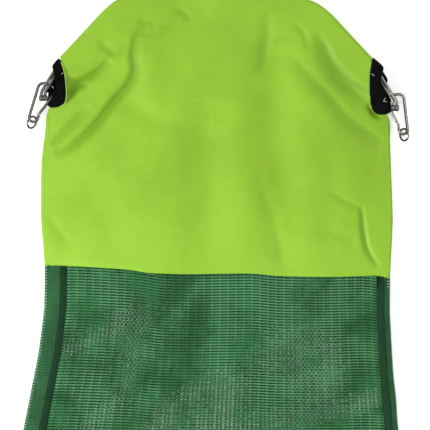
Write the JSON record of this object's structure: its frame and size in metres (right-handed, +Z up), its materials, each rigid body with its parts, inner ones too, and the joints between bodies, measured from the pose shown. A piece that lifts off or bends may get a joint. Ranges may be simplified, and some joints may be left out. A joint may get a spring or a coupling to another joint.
{
  "type": "wire-mouthed catch and gear bag",
  "caption": "Flat catch or gear bag with a coated cloth upper, knitted mesh lower, hinged wire mouth and a snap hook with a ring at each end.",
  "frame": {"origin": "middle of the bag's box in X and Y, on the ground under its back", "axes": "+X across the bag to its right as seen from the front, +Y from its foot to its mouth, +Z up through the front cloth"},
  "size_m": [0.5058, 0.74, 0.021],
  "materials": {
    "lime_cloth": "semi-matte coated cloth",
    "green_mesh": "knitted mesh",
    "mesh_edge": "folded mesh, overlocked",
    "black_webbing": "matt webbing",
    "frame_wire": "matt drawn wire",
    "hook_steel": "polished rod",
    "rivet_steel": "satin",
    "spring_steel": "bright wire",
    "washer_nylon": "matt"
  },
  "bodies": {
    "bag": {"front_upper_panel": "lime_cloth", "back_upper_panel": "lime_cloth", "left_side_seam": "lime_cloth", "right_side_seam": "lime_cloth", "front_waist_hem": "lime_cloth", "back_waist_hem": "lime_cloth", "back_wire_sleeve": "lime_cloth", "front_mesh_panel": "green_mesh", "back_mesh_panel": "green_mesh", "left_mesh_band": "mesh_edge", "right_mesh_band": "mesh_edge", "foot_seam": "mesh_edge", "back_jaw_wire": "frame_wire", "left_hinge_rivet": "rivet_steel", "left_hinge_washer": "washer_nylon", "left_side_patch": "black_webbing", "left_back_patch": "black_webbing", "right_hinge_rivet": "rivet_steel", "right_hinge_washer": "washer_nylon", "right_side_patch": "black_webbing", "right_back_patch": "black_webbing", "left_hook_strap": "black_webbing", "right_hook_strap": "black_webbing"},
    "front_jaw": {"front_flap_panel": "lime_cloth", "front_wire_sleeve": "lime_cloth", "front_jaw_wire": "frame_wire", "left_front_patch": "black_webbing", "right_front_patch": "black_webbing"},
    "left_hook": {"left_hook": "hook_steel", "left_gate_pin": "rivet_steel"},
    "left_gate": {"left_gate": "hook_steel", "left_gate_spring": "spring_steel"},
    "left_ring": {"left_ring": "hook_steel"},
    "right_hook": {"right_hook": "hook_steel", "right_gate_pin": "rivet_steel"},
    "right_gate": {"right_gate": "hook_steel", "right_gate_spring": "spring_steel"},
    "right_ring": {"right_ring": "hook_steel"}
  },
  "joints": [
    {"name": "jaw_open", "type": "hinge", "parent": "bag", "child": "front_jaw", "pos_m": [0.00895, 0.21245, 0.0144], "axis": [0.9996, -0.0288, 0], "range_deg": [0, 100]},
    {"name": "left_hook_swing", "type": "hinge", "parent": "bag", "child": "left_hook", "pos_m": [-0.20278, 0.22994, 0.0073], "axis": [0, 0, 1], "range_deg": [-30, 8]},
    {"name": "left_gate_open", "type": "hinge", "parent": "left_hook", "child": "left_gate", "pos_m": [-0.22181, 0.19904, 0.0073], "axis": [0, 0, 1], "range_deg": [0, 28], "stiffness_Nm_per_rad": 0.02, "springref_deg": -20.05},
    {"name": "left_ring_swing", "type": "hinge", "parent": "left_hook", "child": "left_ring", "pos_m": [-0.23092, 0.18902, 0.0073], "axis": [0.9415, -0.3371, 0], "range_deg": [-12, 6]},
    {"name": "right_hook_swing", "type": "hinge", "parent": "bag", "child": "right_hook", "pos_m": [0.22576, 0.2183, 0.0073], "axis": [0, 0, -1], "range_deg": [-30, 8]},
    {"name": "right_gate_open", "type": "hinge", "parent": "right_hook", "child": "right_gate", "pos_m": [0.23902, 0.18453, 0.0073], "axis": [0, 0, -1], "range_deg": [0, 28], "stiffness_Nm_per_rad": 0.02, "springref_deg": -20.05},
    {"name": "right_ring_swing", "type": "hinge", "parent": "right_hook", "child": "right_ring", "pos_m": [0.24621, 0.17306, 0.0073], "axis": [0.9863, 0.165, 0], "range_deg": [-12, 6]}
  ]
}
